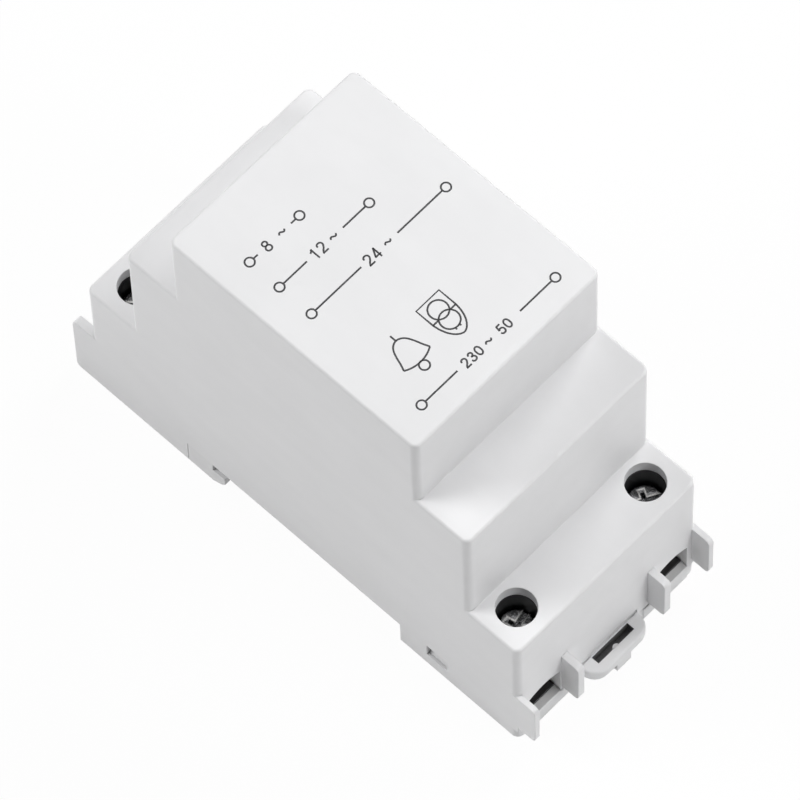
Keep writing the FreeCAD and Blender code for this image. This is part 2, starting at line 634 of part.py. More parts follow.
def makeCoils():
    flangeY = [("-flangeEnd", "flangeThick - flangeEnd"),
               ("splitOffset - flangeThick / 2", "splitOffset + flangeThick / 2"),
               ("flangeEnd - flangeThick", "flangeEnd")]
    flanges = [box(("-flangeHalf", "flangeHalf"), y, ("coreMid - flangeRise", "coreMid + flangeRise"))
               for y in flangeY]
    tube = box(("-tubeX", "tubeX"), ("-flangeEnd", "flangeEnd"), ("coreMid - tubeZ", "coreMid + tubeZ"))
    bore = box(("tubeWall - tubeX", "tubeX - tubeWall"), ("-flangeEnd - cutOver", "flangeEnd + cutOver"),
               ("coreMid - tubeZ + tubeWall", "coreMid + tubeZ - tubeWall"))
    node(refined(cut(fuse(tube, *flanges), bore)), "bobbin")
    for name, low, high, inset in (("mains", flangeY[0][1], flangeY[1][0], "mainsCoilInset"),
                                   ("bell", flangeY[1][1], flangeY[2][0], "bellCoilInset")):
        across, up = f"flangeHalf - {inset}", f"flangeRise - {inset}"
        winding, core = sleeve((low, high), across, up, "tubeX", "tubeZ", "coilRound")
        node(cut(winding, core), f"{name}_winding")
        tape, _ = sleeve((f"{low} + tapeInset", f"{high} - tapeInset"), f"{across} + tapeThick",
                         f"{up} + tapeThick", "tubeX", "tubeZ", "coilRound + tapeThick")
        inside, _ = sleeve((f"{low} - cutOver", f"{high} + cutOver"), across, up, "tubeX", "tubeZ",
                           "coilRound")
        node(cut(tape, inside), f"{name}_coil_tape")


pinPlaces = [(-1, "-mainsX", "pinDrop"), (-1, "mainsX", "pinDrop"),
             (1, "-1.5 * bellPitch", "pinDrop"), (1, "-1.5 * bellPitch", "pinDrop - pinStep"),
             (1, "1.5 * bellPitch", "pinDrop - pinStep"), (1, "1.5 * bellPitch", "pinDrop")]


def makePins():
    pins = [cylinder("pinRadius", x, span(side, "flangeEnd", "pinEnd"), f"coreMid - ({drop})")
            for side, x, drop in pinPlaces]
    group = doc.addObject("Part::Compound", "Pins")
    group.Links = pins
    return node(group, "winding_pins")


def roundedPath(points, share=0.45):
    """Straight runs joined by tangent arcs that take up a share of the shorter run."""
    edges = []
    here = points[0]
    for before, corner, after in zip(points, points[1:], points[2:]):
        back, ahead = (before - corner), (after - corner)
        turn = math.pi - back.getAngle(ahead)
        reach = share * min(back.Length, ahead.Length)
        radius = reach / math.tan(turn / 2)
        back.normalize()
        ahead.normalize()
        first, last = corner + back * reach, corner + ahead * reach
        inward = (back + ahead).normalize()
        centre = corner + inward * math.hypot(reach, radius)
        middle = centre - inward * radius
        edges.append(Part.LineSegment(here, first).toShape())
        edges.append(Part.Arc(first, middle, last).toShape())
        here = last
    edges.append(Part.LineSegment(here, points[-1]).toShape())
    return Part.Wire(edges)


def makeLead(name, places):
    """An insulated lead along a hand-laid route of formulas."""
    points = [FreeCAD.Vector(*[size(value) for value in place]) for place in places]
    path = roundedPath(points)
    ring = Part.Circle(points[0], points[1] - points[0], size("leadRadius")).toShape()
    lead = doc.addObject("Part::Feature", "Lead")
    lead.Shape = path.makePipeShell([Part.Wire(ring)], True, False)
    return node(lead, name)


def makeLeads():
    for name, (_, x), (_, pinX, drop) in zip(terminalNames[2:], bellTerminals, pinPlaces[2:]):
        bend, pinZ = "barInner - leadSetback", f"coreMid - ({drop})"
        makeLead(f"{name}_lead", [(x, "barInner", "leadLevel"), (x, bend, "leadLevel"),
                                  (pinX, bend, pinZ), (pinX, "pinEnd", pinZ)])
    bend = "-(barInner - leadSetback)"
    level = "coreMid - pinDrop"
    makeLead("mains_right_lead", [("mainsX", "-barInner", "leadLevel"), ("mainsX", bend, "leadLevel"),
                                  ("mainsX", bend, level), ("mainsX", "-pinEnd", level)])
    middle = "guideTop + cutoutHeight / 2"
    left, right = "-cutoutX - cutoutLength / 2", "cutoutLength / 2 - cutoutX"
    makeLead("cutout_in_lead", [("-mainsX", "-barInner", "leadLevel"), ("-mainsX", "-cutoutY", "leadLevel"),
                                ("-mainsX", "-cutoutY", middle), (left, "-cutoutY", middle)])
    makeLead("cutout_out_lead", [(right, "-cutoutY", middle), (f"{right} + loopReach", "-cutoutY", middle),
                                 (f"{right} + loopReach", "-cutoutY", "coreBottom + loopRise"),
                                 ("-mainsX", "-cutoutY", level), ("-mainsX", "-pinEnd", level)])


def makeCutout():
    """The thermal cutout in the mains winding's circuit."""
    left, right = "-cutoutLength / 2 - cutoutX", "cutoutLength / 2 - cutoutX"
    top = "guideTop + cutoutHeight"
    outline = [(left, "guideTop"), (right, "guideTop"), (right, top), (left, top)]
    body = padBody("Cutout", "XZ_Plane", outline, "-cutoutY - cutoutDepth / 2",
                   "cutoutDepth / 2 - cutoutY")
    roundEdges(body, "cutoutRound", lambda edge: edge.BoundBox.XLength > size("cutoutLength / 2"))
    return node(body, "thermal_cutout")


makeHousing()
makeBase()
makeLatch()
makeSpring()
for name, (side, x) in zip(terminalNames, terminals):
    node(makeScrew(side, x), f"{name}_screw")
    node(makeCage(side, x), f"{name}_cage")
    node(makeBar(side, x), f"{name}_bar")
makeCore()
makeCoils()
makePins()
makeCutout()
makeLeads()
doc.recompute()

faults = [f"{item.Label}: {item.State}" for item in doc.Objects
          if "Invalid" in item.State or "Error" in item.State]
faults += [f"{item.Label}: no valid shape" for item in nodes
           if item.Shape.isNull() or not item.Shape.isValid()]
if faults:
    raise RuntimeError("; ".join(faults))
os.makedirs("parts", exist_ok=True)
for item in nodes:
    item.Shape.exportStep(f"parts/{item.Label}.step")
    print(item.Label, len(item.Shape.Solids), round(item.Shape.Volume, 1))
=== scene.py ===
import bmesh
import bpy
import json
import math
from mathutils import Matrix, Vector


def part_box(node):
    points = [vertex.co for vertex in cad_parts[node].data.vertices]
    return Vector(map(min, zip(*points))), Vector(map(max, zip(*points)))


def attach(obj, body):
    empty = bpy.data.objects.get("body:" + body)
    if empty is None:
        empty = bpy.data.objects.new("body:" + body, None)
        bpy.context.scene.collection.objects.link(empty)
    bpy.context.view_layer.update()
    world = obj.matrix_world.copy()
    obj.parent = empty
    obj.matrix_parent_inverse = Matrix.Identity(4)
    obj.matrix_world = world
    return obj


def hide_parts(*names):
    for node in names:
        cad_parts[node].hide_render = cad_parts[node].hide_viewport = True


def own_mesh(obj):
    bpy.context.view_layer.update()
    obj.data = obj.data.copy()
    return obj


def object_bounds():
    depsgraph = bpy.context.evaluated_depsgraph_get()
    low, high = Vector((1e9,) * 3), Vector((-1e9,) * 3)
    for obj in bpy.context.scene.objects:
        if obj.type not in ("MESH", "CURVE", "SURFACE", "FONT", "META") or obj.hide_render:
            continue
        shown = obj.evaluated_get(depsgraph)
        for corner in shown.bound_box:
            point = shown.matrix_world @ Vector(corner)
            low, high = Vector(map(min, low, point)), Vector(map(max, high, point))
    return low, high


# Rail doorbell transformer lying on its back. The dictionaries hold millimetres and degrees.
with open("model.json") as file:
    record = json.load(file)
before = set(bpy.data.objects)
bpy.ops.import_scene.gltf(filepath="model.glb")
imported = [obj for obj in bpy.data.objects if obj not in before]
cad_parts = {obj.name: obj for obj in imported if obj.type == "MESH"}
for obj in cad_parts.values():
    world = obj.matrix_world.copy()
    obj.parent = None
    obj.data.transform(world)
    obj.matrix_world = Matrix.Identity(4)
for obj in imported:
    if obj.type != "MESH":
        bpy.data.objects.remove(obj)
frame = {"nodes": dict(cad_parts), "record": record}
nodes = frame["nodes"]
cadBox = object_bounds()
mm = 0.001
weld = 1e-4  # corners this near become one
near = 0.01  # an edge or a face this near lies in a plane
past = 1.0  # how far a cutter runs beyond the face that it opens
far = 50.0  # beyond every side of the object
print("frame loaded with", len(nodes), "nodes")


class Value:  # a shader socket that can stand in a formula
    def __init__(self, shader, socket):
        self.shader = shader
        self.socket = socket

    def math(self, operation, first, second=0.0):
        return self.shader.node("ShaderNodeMath", {"operation": operation}, {0: first, 1: second})

    def __add__(self, other):
        return self.math("ADD", self, other)

    def __sub__(self, other):
        return self.math("SUBTRACT", self, other)

    def __rsub__(self, other):
        return self.math("SUBTRACT", other, self)

    def __mul__(self, other):
        return self.math("MULTIPLY", self, other)

    __radd__ = __add__
    __rmul__ = __mul__

    def above(self, level, soft):  # 0 under the level, 1 past it
        settings = {"interpolation_type": "SMOOTHSTEP"}
        return self.shader.node("ShaderNodeMapRange", settings,
                                {"Value": self, "From Min": level - soft, "From Max": level + soft})


class Shader:  # the node tree of a material or of the world
    def __init__(self, owner):
        owner.use_nodes = True
        self.tree = owner.node_tree
        self.tree.nodes.clear()

    def node(self, kind, settings=None, sockets=None, output=0):
        made = self.tree.nodes.new(kind)
        for word, value in (settings or {}).items():
            setattr(made, word, value)
        for word, value in (sockets or {}).items():
            if isinstance(value, Value):
                self.tree.links.new(value.socket, made.inputs[word])
            else:
                made.inputs[word].default_value = value
        return Value(self, made.outputs[output]) if made.outputs else None

    def place(self):
        return self.node("ShaderNodeTexCoord", output="Object")

    def noise(self, size, detail=2.0, stretch=(1, 1, 1)):  # size of a blot in millimetres
        spread = self.node("ShaderNodeMapping", None, {"Vector": self.place(), "Scale": stretch})
        return self.node("ShaderNodeTexNoise", None,
                         {"Vector": spread, "Scale": 1 / (size * mm), "Detail": detail})

    def mix(self, share, first, second):
        return self.node("ShaderNodeMix", {"data_type": "RGBA"}, {0: share, 6: first, 7: second}, 2)

    def bump(self, height, depth, edge=0.0, samples=6):  # depth and edge rounding in millimetres
        sockets = {"Height": height, "Distance": depth * mm, "Strength": 1.0}
        if edge:
            sockets["Normal"] = self.node("ShaderNodeBevel", {"samples": samples}, {"Radius": edge * mm})
        return self.node("ShaderNodeBump", None, sockets)

    def surface(self, sockets):
        end = self.node("ShaderNodeBsdfPrincipled", None, sockets)
        self.node("ShaderNodeOutputMaterial", None, {"Surface": end})


def rgb(red, green, blue):
    return (red, green, blue, 1.0)


def shade(colour, share):
    return rgb(*[part * share for part in colour[:3]])


def newMaterial(name):
    material = bpy.data.materials.new(name)
    return material, Shader(material)


noiseMiddle = 0.5  # the mean of a noise


# Moulded plastics: satin grain from the tool, faint flow clouds, softened edges
plastics = {
    "housing": {"colour": rgb(0.800, 0.800, 0.808), "rough": 0.50, "grain": 0.16, "depth": 0.004,
                "cloud": 14, "vary": 0.965, "edge": 0.18},
    "base": {"colour": rgb(0.775, 0.775, 0.782), "rough": 0.48, "grain": 0.18, "depth": 0.004,
             "cloud": 10, "vary": 0.96, "edge": 0.15},
    "latch": {"colour": rgb(0.790, 0.790, 0.797), "rough": 0.42, "grain": 0.18, "depth": 0.003,
              "cloud": 7, "vary": 0.96, "edge": 0.15},
    # painted shade: a dark grey for the latch slot's walls and floor
    "latchSlotPaintedShade": {"colour": rgb(0.170, 0.170, 0.174), "rough": 0.30, "grain": 0.12, "depth": 0.004,
                  "cloud": 2, "vary": 0.75, "edge": 0},
    "bobbin": {"colour": rgb(0.011, 0.011, 0.012), "rough": 0.42, "grain": 0.12, "depth": 0.006,
               "cloud": 5, "vary": 0.8, "edge": 0.1},
    "cutout": {"colour": rgb(0.72, 0.70, 0.61), "rough": 0.35, "grain": 0.2, "depth": 0.003,
               "cloud": 3, "vary": 0.93, "edge": 0.1},
    "mainsLead": {"colour": rgb(0.02, 0.06, 0.36), "rough": 0.33, "grain": 0.25, "depth": 0.004,
                  "cloud": 4, "vary": 0.88, "edge": 0},
    "bellLead": {"colour": rgb(0.74, 0.72, 0.66), "rough": 0.33, "grain": 0.25, "depth": 0.004,
                 "cloud": 4, "vary": 0.93, "edge": 0},
}


moulding = {"cloudDetail": 3.0, "flowFiner": 4, "flowDetail": 2.0, "flowStretch": (1, 0.35, 1),
            "cloudShare": 0.6, "flowShare": 0.4, "soft": 0.22, "grainRough": 0.16, "cloudRough": 0.10,
            "cloudBump": 0.5}


def plastic(name):
    look = plastics[name]
    material, shader = newMaterial(name + "Plastic")
    cloud = shader.noise(look["cloud"], moulding["cloudDetail"])
    grain = shader.noise(look["grain"])
    flow = shader.noise(look["cloud"] / moulding["flowFiner"], moulding["flowDetail"],
                        moulding["flowStretch"])
    streak = cloud * moulding["cloudShare"] + flow * moulding["flowShare"]
    rough = look["rough"] + (grain - noiseMiddle) * moulding["grainRough"]
    shader.surface({
        "Base Color": shader.mix(streak.above(noiseMiddle, moulding["soft"]),
                                 shade(look["colour"], look["vary"]), look["colour"]),
        "Roughness": rough + (cloud - noiseMiddle) * moulding["cloudRough"],
        "Normal": shader.bump(grain + cloud * moulding["cloudBump"], look["depth"], look["edge"]),
    })
    return material


# Metals: plating or rolling marks, duller patches
metals = {
    "screw": {"colour": rgb(0.44, 0.44, 0.45), "rough": 0.17, "mark": 0.42, "stretch": (1, 1, 1),
              "depth": 0.075, "patch": 0.7, "vary": 0.45, "edge": 0},
    # rubbed recess edges, also painted highlight: brighter than the screw metal so that they glint
    "wornEdgeAndPaintedGlint": {"colour": rgb(0.93, 0.92, 0.90), "rough": 0.42, "mark": 0.2, "stretch": (1, 1, 1),
                 "depth": 0.01, "patch": 0.6, "vary": 0.7, "edge": 0},
    "cage": {"colour": rgb(0.50, 0.49, 0.46), "rough": 0.34, "mark": 0.12, "stretch": (1, 0.2, 1),
             "depth": 0.004, "patch": 1.6, "vary": 0.75, "edge": 0.08},
    "contact": {"colour": rgb(0.66, 0.58, 0.40), "rough": 0.28, "mark": 0.10, "stretch": (1, 0.15, 1),
                "depth": 0.003, "patch": 2.0, "vary": 0.82, "edge": 0.06},
    "spring": {"colour": rgb(0.55, 0.55, 0.56), "rough": 0.25, "mark": 0.06, "stretch": (1, 1, 1),
               "depth": 0.002, "patch": 1.0, "vary": 0.8, "edge": 0},
    "pin": {"colour": rgb(0.60, 0.59, 0.56), "rough": 0.32, "mark": 0.1, "stretch": (1, 0.3, 1),
            "depth": 0.003, "patch": 0.8, "vary": 0.8, "edge": 0},
    "core": {"colour": rgb(0.20, 0.20, 0.22), "rough": 0.42, "mark": 0.2, "stretch": (1, 0.1, 0.1),
             "depth": 0.006, "patch": 6.0, "vary": 0.7, "edge": 0},
}


plating = {"markDetail": 3.0, "patchDetail": 4.0, "soft": 0.18, "markRough": 0.2, "dullRough": 0.15}


def metal(name):
    look = metals[name]
    material, shader = newMaterial(name + "Metal")
    mark = shader.noise(look["mark"], plating["markDetail"], look["stretch"])
    patch = shader.noise(look["patch"], plating["patchDetail"]).above(noiseMiddle, plating["soft"])
    rough = look["rough"] + (mark - noiseMiddle) * plating["markRough"]
    shader.surface({
        "Base Color": shader.mix(patch, shade(look["colour"], look["vary"]), look["colour"]),
        "Metallic": 1.0,
        "Roughness": rough + (1 - patch) * plating["dullRough"],
        "Normal": shader.bump(mark, look["depth"], look["edge"]),
    })
    return material


# Windings: enamelled wire laid along X and round the limb, one turn each pitch, with painted shade
# in the grooves between turns and darker random patches
winding = {"colour": rgb(0.56, 0.20, 0.07), "dark": rgb(0.30, 0.09, 0.03), "pitch": 0.32, "depth": 0.10,
           "patch": 2.5, "patchDetail": 3.0, "turnShare": 0.6, "patchShare": 0.4, "level": 0.45, "soft": 0.3,
           "metallic": 0.85, "rough": 0.28, "patchRough": 0.15, "coat": 0.5}


def copperWire():
    material, shader = newMaterial("copperWire")
    bandsPerMetre = math.pi / (10 * winding["pitch"] * mm)  # the node's bands repeat each tenth of pi
    turn = shader.node("ShaderNodeTexWave", {"bands_direction": "Y", "wave_profile": "SIN"},
                       {"Vector": shader.place(), "Scale": bandsPerMetre, "Distortion": 0.0}, 1)
    patch = shader.noise(winding["patch"], winding["patchDetail"])
    # darker where the bump is low, painted shade in the grooves, and in random patches
    grooveShadeAndPatch = turn * winding["turnShare"] + patch * winding["patchShare"]
    share = grooveShadeAndPatch.above(winding["level"], winding["soft"])
    shader.surface({
        "Base Color": shader.mix(share, winding["dark"], winding["colour"]),
        "Metallic": winding["metallic"],
        "Roughness": winding["rough"] + (patch - noiseMiddle) * winding["patchRough"],
        "Normal": shader.bump(turn, winding["depth"]),
        "Coat Weight": winding["coat"],
    })
    return material


# Polyester tape: glossy, slightly uneven over the wire below
tape = {"colour": rgb(0.80, 0.50, 0.04), "thin": rgb(0.62, 0.33, 0.03), "depth": 0.03, "crease": 3.0,
        "creaseDetail": 3.0, "stretch": (1, 3, 1), "soft": 0.25, "rough": 0.18, "creaseRough": 0.15,
        "creaseLow": 0.4, "coat": 0.6}


def polyesterTape():
    material, shader = newMaterial("polyesterTape")
    crease = shader.noise(tape["crease"], tape["creaseDetail"], tape["stretch"])
    shader.surface({
        "Base Color": shader.mix(crease.above(noiseMiddle, tape["soft"]), tape["thin"], tape["colour"]),
        "Roughness": tape["rough"] + (crease - tape["creaseLow"]) * tape["creaseRough"],
        "Normal": shader.bump(crease, tape["depth"]),
        "Coat Weight": tape["coat"],
    })
    return material


# Printing: a thin matt film of black ink with a slightly broken edge
ink = {"colour": rgb(0.020, 0.020, 0.022), "worn": rgb(0.055, 0.055, 0.06), "speck": 0.12, "level": 0.58,
       "soft": 0.12, "rough": 0.55, "speckRough": 0.2, "depth": 0.003}


def printingInk():
    material, shader = newMaterial("printingInk")
    speck = shader.noise(ink["speck"])
    shader.surface({
        "Base Color": shader.mix(speck.above(ink["level"], ink["soft"]), ink["colour"], ink["worn"]),
        "Roughness": ink["rough"] + (speck - noiseMiddle) * ink["speckRough"],
        "Normal": shader.bump(speck, ink["depth"]),
    })
    return material


finishes = {name: plastic(name) for name in plastics}
finishes.update({name: metal(name) for name in metals})
finishes["copper"] = copperWire()
finishes["tape"] = polyesterTape()
finishes["ink"] = printingInk()
slotFinish = {"mains_lead": "mainsLead", "bell_lead": "bellLead"}
for part in frame["record"]["subparts"]:
    name = slotFinish.get(part["material_slot"], part["material_slot"])
    mesh = nodes[part["node"]].data
    mesh.materials.clear()
    mesh.materials.append(finishes[name])
print("finishes made:", len(finishes))


def newObject(name, data):
    made = bpy.data.objects.new(name, data)
    bpy.context.scene.collection.objects.link(made)
    return made


def meshOf(name, shape):
    mesh = bpy.data.meshes.new(name)
    shape.to_mesh(mesh)
    shape.free()
    return mesh


def finishedMesh(thing):
    bpy.context.view_layer.update()
    return bpy.data.meshes.new_from_object(thing.evaluated_get(bpy.context.evaluated_depsgraph_get()))


def newPiece(name, mesh, finish, body):
    if mesh.materials:  # a clear would also reset the faces that have a second finish
        mesh.materials.clear()
    mesh.materials.append(finishes[finish])
    piece = newObject(name, mesh)
    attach(piece, body)
    return piece


# The printing on the front face: rings at the ends of each winding's line, plain numbers, a bell
# and the sign of a transformer. X runs along a line of print, and each line has its Y.
printing = {
    "stroke": 0.27, "film": 0.02, "sideSteps": 1, "curveSteps": 8, "ringRadius": 0.69, "ringKnots": 8,
    "advance": 0.80, "digitMiddle": 0.32,
    "rows": [
        {"y": 12.57, "rings": (-12.76, -3.19), "lines": [(-11.96, -11.22), (-4.82, -3.99)],
         "numbers": [("8", -9.45)], "waves": [-6.60], "high": 1.78},
        {"y": 7.07, "rings": (-12.75, 4.53), "lines": [(-11.95, -7.49), (-0.58, 3.73)],
         "numbers": [("12", -5.30)], "waves": [-2.40], "high": 1.78},
        {"y": 1.20, "rings": (-12.72, 13.24), "lines": [(-11.92, -3.18), (3.81, 12.44)],
         "numbers": [("24", -1.05)], "waves": [1.95], "high": 1.78},
        {"y": -18.75, "rings": (-12.59, 13.26), "lines": [(-11.79, -5.72), (6.39, 12.46)],
         "numbers": [("230", -2.85), ("50", 3.35)], "waves": [0.30], "high": 1.55},
    ],
    # Digits one unit high: each stroke is closed or open, smooth or straight
    "digits": {
        "0": [(True, True, [(0.32, 0.94), (0.52, 0.80), (0.575, 0.5), (0.52, 0.20), (0.32, 0.06),
                            (0.12, 0.20), (0.065, 0.5), (0.12, 0.80)])],
        "1": [(False, False, [(0.38, 0.0), (0.38, 1.0)]),
              (False, True, [(0.38, 0.97), (0.29, 0.84), (0.13, 0.74)])],
        "2": [(False, True, [(0.075, 0.71), (0.14, 0.88), (0.32, 0.94), (0.50, 0.87), (0.56, 0.70),
                             (0.45, 0.47), (0.20, 0.23), (0.07, 0.06)]),
              (False, False, [(0.01, 0.06), (0.59, 0.06)])],
        "3": [(False, True, [(0.08, 0.75), (0.16, 0.89), (0.31, 0.94), (0.47, 0.87), (0.52, 0.73),
                             (0.44, 0.59), (0.24, 0.53)]),
              (False, True, [(0.24, 0.53), (0.47, 0.47), (0.565, 0.29), (0.49, 0.12), (0.31, 0.06),
                             (0.13, 0.12), (0.06, 0.27)])],
        "4": [(False, False, [(0.46, 0.0), (0.46, 1.0)]), (False, False, [(0.46, 0.96), (0.06, 0.27)]),
              (False, False, [(0.01, 0.27), (0.62, 0.27)])],
        "5": [(False, False, [(0.55, 0.94), (0.15, 0.94)]), (False, False, [(0.17, 0.98), (0.09, 0.46)]),
              (False, True, [(0.09, 0.48), (0.20, 0.57), (0.34, 0.60), (0.50, 0.52), (0.575, 0.33),
                             (0.50, 0.13), (0.31, 0.06), (0.13, 0.12), (0.06, 0.26)])],
        "8": [(True, True, [(0.32, 0.94), (0.48, 0.88), (0.53, 0.74), (0.46, 0.59), (0.32, 0.535),
                            (0.18, 0.59), (0.11, 0.74), (0.16, 0.88)]),
              (True, True, [(0.32, 0.535), (0.50, 0.46), (0.575, 0.29), (0.50, 0.12), (0.32, 0.06),
                            (0.14, 0.12), (0.065, 0.29), (0.14, 0.46)])],
    },
    "wave": [(-0.60, -0.12), (-0.30, 0.14), (0.0, 0.0), (0.30, -0.14), (0.60, 0.12)],
    "bell": {"middle": -8.05, "stem": (-8.71, -9.76), "clapper": (-14.98, 0.74),
             "side": [(0.62, -9.93), (1.17, -10.40), (1.72, -11.50), (2.12, -12.70)], "lip": (2.50, -13.62),
             "mouth": [(1.40, -14.08), (0.0, -14.27)]},
    "shield": {"middle": -0.84, "half": 2.20, "top": -8.70, "shoulder": -11.80, "tip": -15.52,
               "belly": [(1.98, -13.10), (1.36, -14.50), (0.62, -15.25)],
               "circles": [-10.70, -12.76], "circleRadius": 1.46, "circleKnots": 12, "barInner": 1.12,
               "ticks": [(-0.42, -14.12, -14.50), (0.40, -14.12, -14.50)]},
}


def strokeMesh(points, closed=False, smooth=False):
    curve = bpy.data.curves.new("stroke", "CURVE")
    curve.dimensions = "3D"
    curve.bevel_depth = printing["stroke"] / 2
    curve.bevel_resolution = printing["sideSteps"]
    curve.use_fill_caps = True
    curve.resolution_u = printing["curveSteps"]
    line = curve.splines.new("BEZIER")
    line.bezier_points.add(len(points) - 1)
    for knot, (x, y) in zip(line.bezier_points, points):
        knot.co = (x, y, 0)
        knot.handle_left_type = knot.handle_right_type = "AUTO" if smooth else "VECTOR"
    line.use_cyclic_u = closed
    holder = newObject("holder", curve)
    mesh = finishedMesh(holder)
    bpy.data.objects.remove(holder)
    mesh.transform(Matrix.Diagonal((1, 1, 2 * printing["film"] / printing["stroke"], 1)))
    return mesh


def ringMesh(x, y, radius, knots=printing["ringKnots"]):
    turn = [2 * math.pi * step / knots for step in range(knots)]
    return strokeMesh([(x + radius * math.cos(a), y + radius * math.sin(a)) for a in turn], True, True)


def numberMeshes(text, x, y, high):
    meshes = []
    for place, digit in enumerate(text):
        left = x + high * ((place - (len(text) - 1) / 2) * printing["advance"] - printing["digitMiddle"])
        for closed, smooth, points in printing["digits"][digit]:
            route = [(left + across * high, y + (up - 0.5) * high) for across, up in points]
            meshes.append(strokeMesh(route, closed, smooth))
    return meshes


def bellStrokes(look):
    middle, (lipX, lipY) = look["middle"], look["lip"]
    side = look["side"]
    dome = [(middle - lipX, lipY)] + [(middle - x, y) for x, y in reversed(side)]
    dome += [(middle, look["stem"][1])] + [(middle + x, y) for x, y in side] + [(middle + lipX, lipY)]
    mouth = look["mouth"]
    rim = [(middle - lipX, lipY)] + [(middle - x, y) for x, y in mouth]
    rim += [(middle + x, y) for x, y in reversed(mouth[:-1])] + [(middle + lipX, lipY)]
    clapperY, clapperRadius = look["clapper"]
    return [strokeMesh(dome, False, True), strokeMesh(rim, False, True),
            strokeMesh([(middle, look["stem"][0]), (middle, look["stem"][1])]),
            ringMesh(middle, clapperY, clapperRadius)]


def shieldStrokes(look):
    middle, half, top, shoulder = look["middle"], look["half"], look["top"], look["shoulder"]
    strokes = [strokeMesh([(middle - half, shoulder), (middle - half, top), (middle + half, top),
                           (middle + half, shoulder)])]
    for sign in (-1, 1):
        flank = [(middle + sign * half, shoulder)] + [(middle + sign * x, y) for x, y in look["belly"]]
        strokes.append(strokeMesh(flank + [(middle, look["tip"])], False, True))
        strokes.append(strokeMesh([(middle + sign * half, shoulder),
                                   (middle + sign * look["barInner"], shoulder)]))
    strokes += [ringMesh(middle, y, look["circleRadius"], look["circleKnots"]) for y in look["circles"]]
    strokes += [strokeMesh([(middle + x, high), (middle + x, low)]) for x, high, low in look["ticks"]]
    return strokes


def joinMeshes(name, meshes):
    joined = bmesh.new()
    for mesh in meshes:
        joined.from_mesh(mesh)
        bpy.data.meshes.remove(mesh)
    bmesh.ops.remove_doubles(joined, verts=joined.verts, dist=weld)
    bmesh.ops.recalc_face_normals(joined, faces=joined.faces)
    return meshOf(name, joined)


def makePrinting():
    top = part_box("housing")[1].z
    onFace = Matrix.Translation((0, 0, top)) @ Matrix.Scale(mm, 4)
    groups = {"winding_signs": [], "numbers": []}
    for row in printing["rows"]:
        y = row["y"]
        groups["winding_signs"] += [ringMesh(x, y, printing["ringRadius"]) for x in row["rings"]]
        groups["winding_signs"] += [strokeMesh([(low, y), (high, y)]) for low, high in row["lines"]]
        groups["winding_signs"] += [strokeMesh([(x + dx, y + dy) for dx, dy in printing["wave"]], False, True)
                                    for x in row["waves"]]
        for text, x in row["numbers"]:
            groups["numbers"] += numberMeshes(text, x, y, row["high"])
    groups["bell_sign"] = bellStrokes(printing["bell"])
    groups["transformer_sign"] = shieldStrokes(printing["shield"])
    for name, meshes in groups.items():
        mesh = joinMeshes(name, meshes)
        mesh.transform(onFace)
        newPiece(name, mesh, "ink", "case")
    print("printing made:", ", ".join(groups))


makePrinting()


# Working meshes are in millimetres, and each piece is scaled as it is placed
def softShade(shape, limit=35):  # smooth faces, split where they meet at more than the limit
    for face in shape.faces:
        face.smooth = True
    for edge in shape.edges:
        edge.smooth = len(edge.link_faces) == 2 and edge.calc_face_angle() < math.radians(limit)


def solidObject(name, shape):
    bmesh.ops.remove_doubles(shape, verts=shape.verts, dist=weld)
    bmesh.ops.recalc_face_normals(shape, faces=shape.faces)
    return newObject(name, meshOf(name, shape))


def nodeCopy(name, decimals=4):  # a CAD node's mesh in millimetres, rounded so that its corners meet
    shape = bmesh.new()
    shape.from_mesh(nodes[name].data)
    for corner in shape.verts:
        corner.co = [round(part / mm, decimals) for part in corner.co]
    return shape


def boxShape(low, high):
    shape = bmesh.new()
    middle = [(a + b) / 2 for a, b in zip(low, high)]
    spread = [abs(b - a) for a, b in zip(low, high)]
    bmesh.ops.create_cube(shape, size=1.0, matrix=Matrix.Translation(middle) @ Matrix.Diagonal((*spread, 1)))
    return shape


def cylinderShape(x, y, low, high, radius, segments):
    shape = bmesh.new()
    bmesh.ops.create_cone(shape, cap_ends=True, segments=segments, radius1=radius, radius2=radius,
                          depth=high - low, matrix=Matrix.Translation((x, y, (low + high) / 2)))
    return shape


def boxCutter(low, high):
    return solidObject("cutter", boxShape(low, high))


def endCutter(side, wall):  # takes off all that lies beyond a wall at one end
    return boxCutter((-far, side * wall, -far), (far, side * far, far))


def turnAbout(degrees):  # about Z
    return Matrix.Rotation(math.radians(degrees), 4, "Z")


def edgesBefore(shape, wall, axis):  # the edges in front of a wall that run along an axis
    return [edge for edge in shape.edges if all(corner.co.y < -wall - near for corner in edge.verts)
            and abs(edge.verts[0].co[axis] - edge.verts[1].co[axis]) > near]


def roundEdges(shape, edges, radius, steps, clamp=False):
    bmesh.ops.bevel(shape, geom=edges, affect="EDGES", offset=radius, segments=steps, profile=0.5,
                    material=-1, clamp_overlap=clamp)


def addMesh(shape, mesh):
    shape.from_mesh(mesh)
    bpy.data.meshes.remove(mesh)


def addShape(shape, other):
    addMesh(shape, meshOf("holder", other))


def placeShape(name, shape, finish, body, slot, *replaced):
    softShade(shape)
    mesh = meshOf(name, shape)
    mesh.transform(Matrix.Scale(mm, 4))
    piece = newPiece(name, mesh, finish, body)
    if replaced:
        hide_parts(*replaced)
    return piece


def carve(solid, cutters):  # takes the cutters out of the solid and gives back the mesh
    for cutter in cutters:
        change = solid.modifiers.new("recess", "BOOLEAN")
        change.operation = "DIFFERENCE"
        change.solver = "EXACT"
        change.object = cutter
    mesh = finishedMesh(solid)
    for piece in [solid] + cutters:
        bpy.data.objects.remove(piece)
    return mesh


